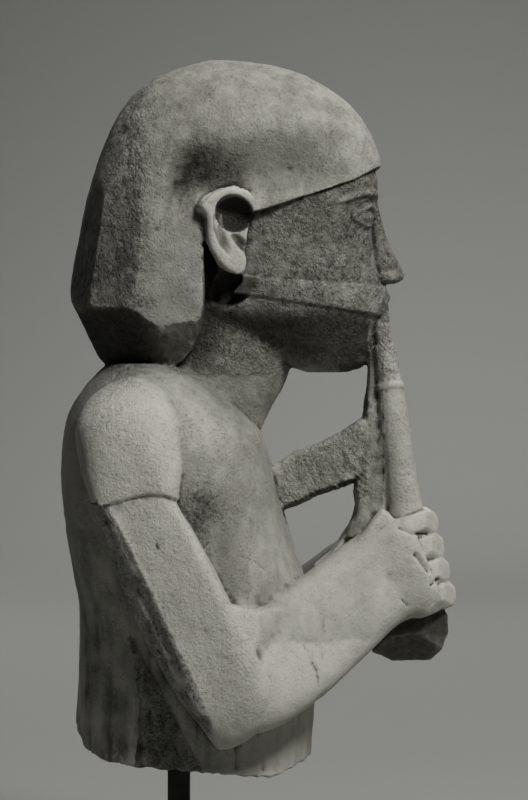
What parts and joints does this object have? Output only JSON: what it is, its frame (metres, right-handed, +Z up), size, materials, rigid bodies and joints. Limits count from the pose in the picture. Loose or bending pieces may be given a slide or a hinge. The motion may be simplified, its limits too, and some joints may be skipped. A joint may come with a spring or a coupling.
{
  "type": "limestone statuette of a double-pipe player",
  "caption": "Carved limestone half figure that plays a double pipe, broken off at the waist and held up by a square steel post on a flat foot",
  "frame": {"origin": "centre of the underside of the stand's foot", "axes": "+Z up, the figure faces -Y, its right side is -X and its left side is +X"},
  "size_m": [0.1934, 0.2014, 0.4254],
  "materials": {
    "limestone": "dry pale warm grey limestone, pecked and weathered, rougher in the broken and uncut places",
    "steel": "satin black paint"
  },
  "bodies": {
    "root": {"limestone_bust": "limestone", "mount_post": "steel", "stand_foot": "steel"}
  },
  "joints": []
}
